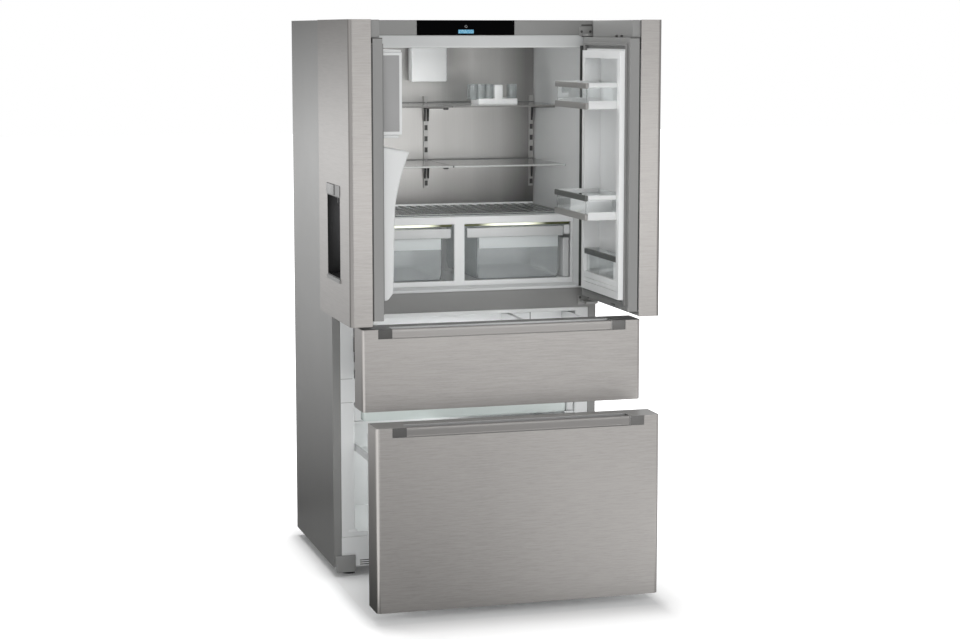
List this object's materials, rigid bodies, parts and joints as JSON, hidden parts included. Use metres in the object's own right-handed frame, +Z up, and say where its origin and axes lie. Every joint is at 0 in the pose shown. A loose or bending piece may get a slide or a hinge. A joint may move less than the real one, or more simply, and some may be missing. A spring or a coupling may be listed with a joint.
{
  "type": "refrigerator with ice maker",
  "caption": "Free-standing French-door refrigerator over freezer drawers, with a water and ice dispenser, an ice maker in the door, glass shelves and clear crispers.",
  "frame": {"origin": "on the floor, midway across the cabinet, in the plane of the cabinet's front frame", "axes": "+X to the right seen from the front, +Y to the back, +Z up"},
  "size_m": [1.006, 1.231, 1.83],
  "materials": {
    "steel_front": "horizontally brushed",
    "steel_side": "satin silver lacquer",
    "grey_frame": "satin grey",
    "grey_plastic": "fine matte",
    "white_plastic": "smooth white",
    "foam": "rigid insulation foam, hidden",
    "door_core": "white lining over insulation foam",
    "gasket_rubber": "soft grey seal",
    "display": "black glass with a small lit field",
    "rear_steel": "brushed back wall",
    "dark_metal": "dark satin",
    "clear_glass": "clear safety glass",
    "clear_plastic": "clear moulding",
    "chrome_trim": "bright",
    "niche_black": "black",
    "zinc_steel": "zinc plated",
    "black_steel": "black enamel",
    "fin_aluminium": "bare fins",
    "brass_fitting": "bare"
  },
  "bodies": {
    "cabinet": {"cabinet_shell": "steel_side", "back_panels": "zinc_steel", "base_plate": "zinc_steel", "insulation_foam": "foam", "front_frame": "grey_frame", "plinth": "white_plastic", "foot_covers": "grey_plastic", "levelling_feet": "black_steel", "fridge_liner": "white_plastic", "freezer_liner": "white_plastic", "display_glass": "display", "rear_wall_panel": "rear_steel", "shelf_supports": "dark_metal", "glass_shelves": "clear_glass", "crisper_frame": "white_plastic", "crisper_cover_glass": "clear_glass", "air_filter_box": "white_plastic", "egg_tray": "white_plastic", "hinge_brackets": "zinc_steel", "runner_outer_members": "zinc_steel", "evaporator_cover": "white_plastic", "evaporator": "fin_aluminium", "condenser": "black_steel", "compressor": "black_steel", "water_valve": "brass_fitting"},
    "left_door": {"left_door_panel": "steel_front", "left_door_frame": "grey_plastic", "left_door_gasket": "gasket_rubber", "left_door_liner": "door_core", "dispenser_recess": "niche_black", "dispenser_bezel": "chrome_trim", "drip_tray": "grey_plastic", "dispenser_housing": "white_plastic", "ice_maker_box": "white_plastic", "ice_bin": "clear_plastic"},
    "right_door": {"right_door_panel": "steel_front", "right_door_frame": "grey_plastic", "right_door_gasket": "gasket_rubber", "right_door_liner": "door_core", "upper_rack": "clear_plastic", "middle_rack": "clear_plastic", "lower_rack": "clear_plastic"},
    "upper_drawer": {"upper_drawer_panel": "steel_front", "upper_drawer_core": "door_core", "upper_drawer_grip": "steel_front", "upper_drawer_gasket": "gasket_rubber", "upper_drawer_box": "white_plastic"},
    "lower_drawer": {"lower_drawer_panel": "steel_front", "lower_drawer_core": "door_core", "lower_drawer_grip": "steel_front", "lower_drawer_gasket": "gasket_rubber", "lower_drawer_box": "white_plastic"},
    "left_crisper": {"left_crisper": "clear_plastic"},
    "right_crisper": {"right_crisper": "clear_plastic"},
    "freezer_tray": {"freezer_tray": "clear_plastic"},
    "evaporator_fan": {"evaporator_fan": "grey_plastic"},
    "dispenser_paddle": {"dispenser_paddle": "niche_black"},
    "ice_tray": {"ice_tray": "white_plastic"},
    "upper_runner_middle": {"upper_runner_middle": "zinc_steel"},
    "lower_runner_middle": {"lower_runner_middle": "zinc_steel"}
  },
  "joints": [
    {"name": "left_door_hinge", "type": "hinge", "parent": "cabinet", "child": "left_door", "pos_m": [-0.435, -0.047, 1.36], "axis": [0, 0, -1], "range_deg": [-90, 25]},
    {"name": "right_door_hinge", "type": "hinge", "parent": "cabinet", "child": "right_door", "pos_m": [0.435, -0.047, 1.36], "axis": [0, 0, 1], "range_deg": [-90, 25]},
    {"name": "upper_drawer_slide", "type": "slide", "parent": "cabinet", "child": "upper_drawer", "axis": [0, -1, 0], "range_m": [-0.3215, 0.0985]},
    {"name": "lower_drawer_slide", "type": "slide", "parent": "cabinet", "child": "lower_drawer", "axis": [0, -1, 0], "range_m": [-0.498, 0.032]},
    {"name": "upper_runner_slide", "type": "slide", "parent": "cabinet", "child": "upper_runner_middle", "axis": [0, -1, 0], "range_m": [-0.16075, 0.04925]},
    {"name": "lower_runner_slide", "type": "slide", "parent": "cabinet", "child": "lower_runner_middle", "axis": [0, -1, 0], "range_m": [-0.249, 0.016]},
    {"name": "left_crisper_slide", "type": "slide", "parent": "cabinet", "child": "left_crisper", "axis": [0, -1, 0], "range_m": [0, 0.33]},
    {"name": "right_crisper_slide", "type": "slide", "parent": "cabinet", "child": "right_crisper", "axis": [0, -1, 0], "range_m": [0, 0.33]},
    {"name": "freezer_tray_slide", "type": "slide", "parent": "cabinet", "child": "freezer_tray", "axis": [0, -1, 0], "range_m": [0, 0.3]},
    {"name": "evaporator_fan_spin", "type": "hinge", "parent": "cabinet", "child": "evaporator_fan", "pos_m": [0, 0.458, 0.741], "axis": [0, 1, 0], "continuous": true},
    {"name": "dispenser_paddle_push", "type": "hinge", "parent": "left_door", "child": "dispenser_paddle", "pos_m": [-0.462, -0.25325, 1.252], "axis": [0, -1, 0], "range_deg": [0, 10], "stiffness_Nm_per_rad": 1.5},
    {"name": "ice_tray_turn", "type": "hinge", "parent": "left_door", "child": "ice_tray", "pos_m": [-0.362, -0.272, 1.671], "axis": [0, -1, 0], "range_deg": [0, 150]}
  ],
  "couplings": [
    {"joint": "upper_runner_slide", "follows": "upper_drawer_slide", "ratio": 0.5},
    {"joint": "lower_runner_slide", "follows": "lower_drawer_slide", "ratio": 0.5}
  ]
}
